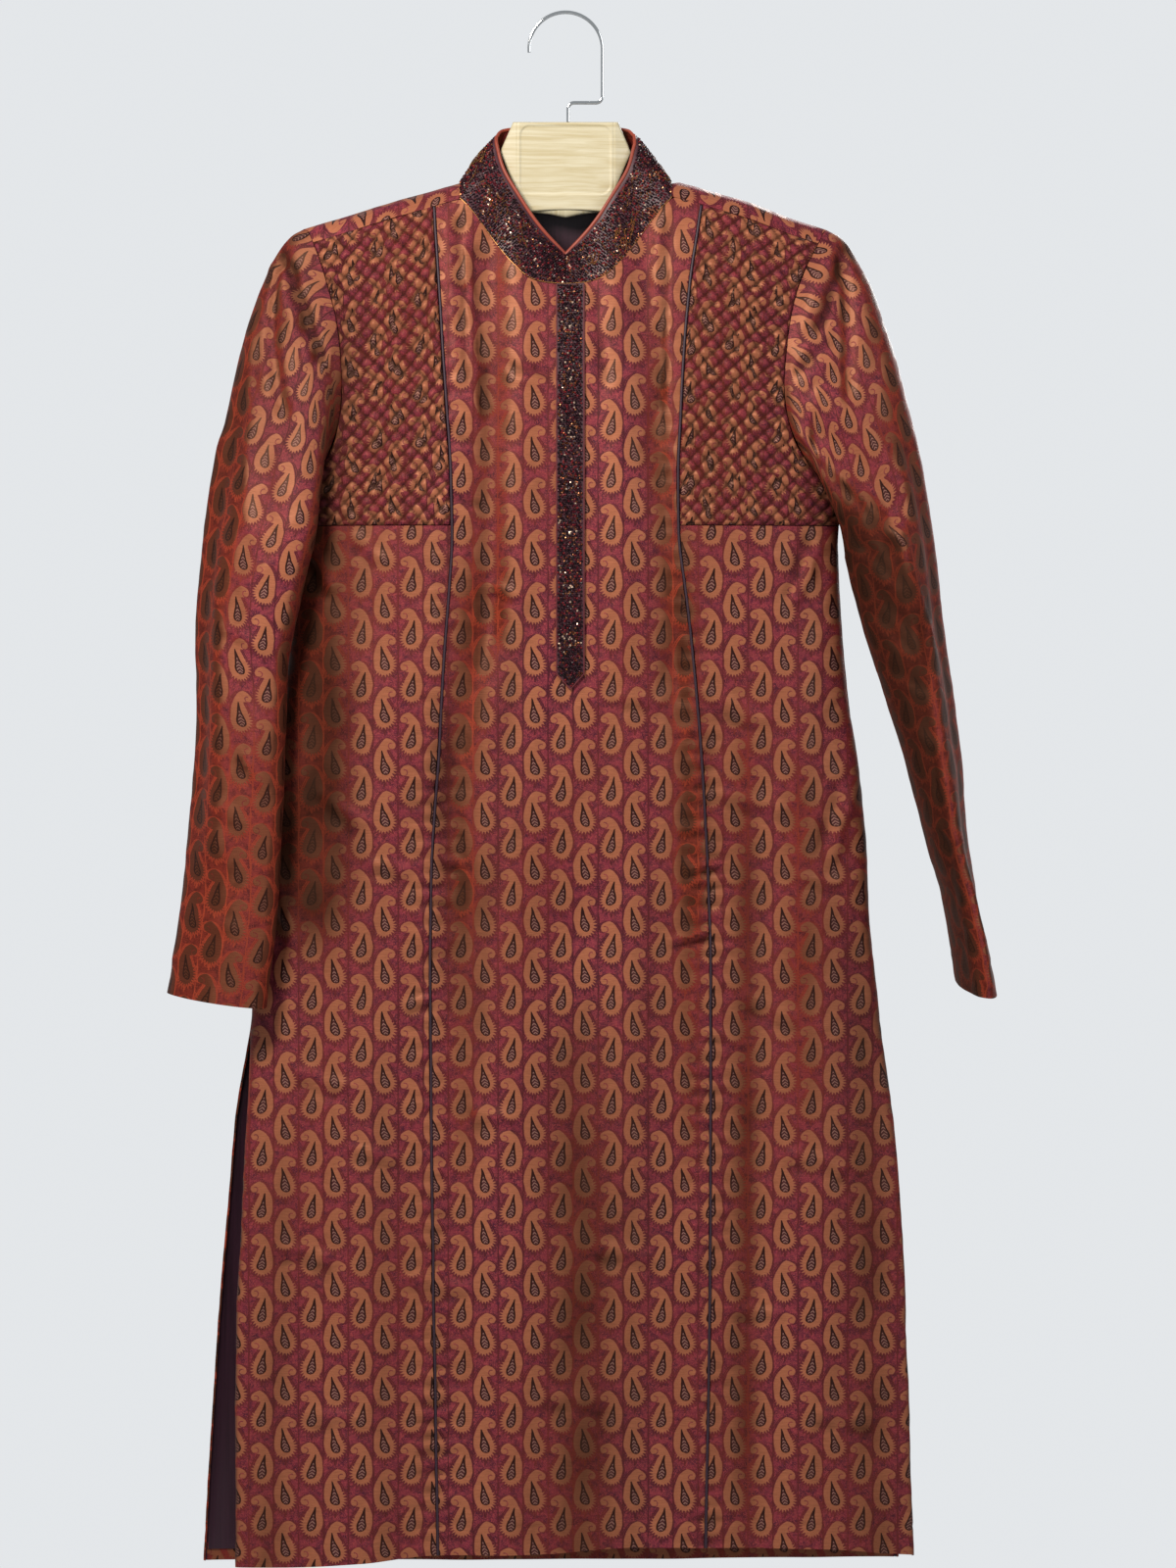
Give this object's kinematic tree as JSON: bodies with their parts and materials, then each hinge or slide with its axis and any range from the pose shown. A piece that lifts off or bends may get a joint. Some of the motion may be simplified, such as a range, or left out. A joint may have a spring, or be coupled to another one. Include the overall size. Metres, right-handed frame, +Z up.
{
  "type": "kurta on hanger",
  "caption": "Knee-length stand-collar kurta with long sleeves, quilted chest panels and beaded placket, hung flat on a plate hanger with a strip hook.",
  "frame": {"origin": "inside top of the hanger's hook, where the rail or nail carries it", "axes": "+Z up, the kurta's front towards -Y, +X to the right seen from the front"},
  "size_m": [0.6769, 0.1076, 1.2743],
  "materials": {
    "jacquard": "satin jacquard",
    "quilting": "machine quilted satin",
    "beading": "beaded satin",
    "cord": "satin covered cord",
    "lining": "plain satin",
    "hanger_wood": "clear lacquer",
    "hook_metal": "polished"
  },
  "bodies": {
    "root": {"front_centre": "jacquard", "placket_band": "beading", "front_side_left": "jacquard", "front_side_right": "jacquard", "quilted_chest_left": "quilting", "quilted_chest_right": "quilting", "piping_left": "cord", "piping_right": "cord", "sleeve_left": "jacquard", "sleeve_right": "jacquard", "back": "jacquard", "back_lining": "lining", "back_hem_facing": "jacquard", "collar": "beading", "hanger_body": "hanger_wood", "hanger_hook": "hook_metal"}
  },
  "joints": []
}
